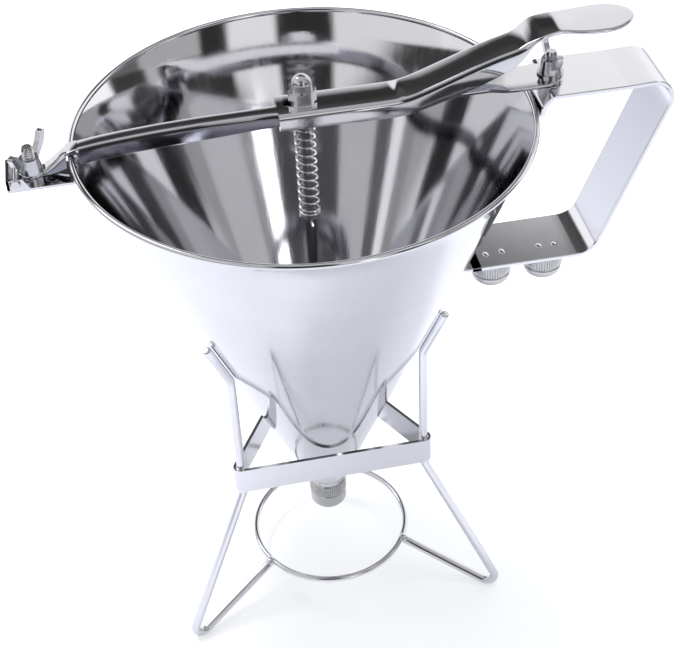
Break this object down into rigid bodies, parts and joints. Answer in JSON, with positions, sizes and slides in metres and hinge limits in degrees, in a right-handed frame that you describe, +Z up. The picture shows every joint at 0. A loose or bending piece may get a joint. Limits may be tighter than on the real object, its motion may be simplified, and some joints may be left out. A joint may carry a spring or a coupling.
{
  "type": "pancake batter dispenser",
  "caption": "Cone-shaped batter funnel with a looped strip handle and a sprung thumb lever that lifts its valve, resting in a three-legged wire stand.",
  "frame": {"origin": "on the floor, under the middle of the whole outline; the funnel's axis is 16.4 mm to the -X side of it", "axes": "+Z up, +X along the crossbar towards the handle, +Y away from the side the picture was taken from"},
  "size_m": [0.2728, 0.19, 0.2919],
  "materials": {
    "polished_sheet": "polished",
    "bright_wire": "polished",
    "turned_steel": "satin"
  },
  "bodies": {
    "stand": {"stand_band": "polished_sheet", "leg_left": "bright_wire", "leg_right": "bright_wire", "leg_rear": "bright_wire", "stand_ring": "bright_wire"},
    "funnel": {"funnel_cone": "polished_sheet", "outlet_tube": "turned_steel", "clamp_bracket": "polished_sheet", "bracket_pin": "turned_steel", "left_stud": "turned_steel", "handle": "polished_sheet", "right_stud": "turned_steel", "stud_inner": "turned_steel", "stud_outer": "turned_steel", "crossbar": "polished_sheet", "left_washer": "turned_steel", "right_washer": "turned_steel"},
    "lever": {"thumb_lever": "polished_sheet"},
    "valve": {"plunger_rod": "bright_wire", "acorn_nut": "turned_steel", "rod_spring": "bright_wire", "spring_washer": "turned_steel", "cotter_pin": "bright_wire", "valve_plug": "turned_steel"},
    "left_nut": {"left_wing_nut": "turned_steel"},
    "right_nut": {"right_wing_nut": "turned_steel"},
    "fitted_nozzle": {"nozzle_fitted": "turned_steel"},
    "inner_nozzle": {"spare_inner": "turned_steel"},
    "outer_nozzle": {"spare_outer": "turned_steel"}
  },
  "joints": [
    {"name": "funnel_lift", "type": "slide", "parent": "stand", "child": "funnel", "axis": [0, 0, 1], "range_m": [0, 0.12]},
    {"name": "lever_press", "type": "hinge", "parent": "funnel", "child": "lever", "pos_m": [0.02465, 0, 0.268], "axis": [0, 1, 0], "range_deg": [0, 6.5]},
    {"name": "rod_lift", "type": "slide", "parent": "funnel", "child": "valve", "axis": [0, 0, 1], "range_m": [0, 0.0055], "stiffness_N_per_m": 400, "springref_m": -0.012, "deforming": ["rod_spring"]},
    {"name": "left_nut_turn", "type": "hinge", "parent": "funnel", "child": "left_nut", "pos_m": [-0.12635, 0, 0.255], "axis": [0, 0, 1], "continuous": true},
    {"name": "right_nut_turn", "type": "hinge", "parent": "funnel", "child": "right_nut", "pos_m": [0.08665, 0, 0.269], "axis": [0, 0, 1], "continuous": true},
    {"name": "fitted_nozzle_turn", "type": "hinge", "parent": "funnel", "child": "fitted_nozzle", "pos_m": [-0.01635, 0, 0.037], "axis": [0, 0, 1], "continuous": true},
    {"name": "inner_nozzle_turn", "type": "hinge", "parent": "funnel", "child": "inner_nozzle", "pos_m": [0.06415, 0, 0.1646], "axis": [0, 0, 1], "continuous": true},
    {"name": "outer_nozzle_turn", "type": "hinge", "parent": "funnel", "child": "outer_nozzle", "pos_m": [0.08815, 0, 0.1646], "axis": [0, 0, 1], "continuous": true}
  ],
  "couplings": [
    {"joint": "rod_lift", "follows": "lever_press", "m_per_rad": 0.0465}
  ]
}
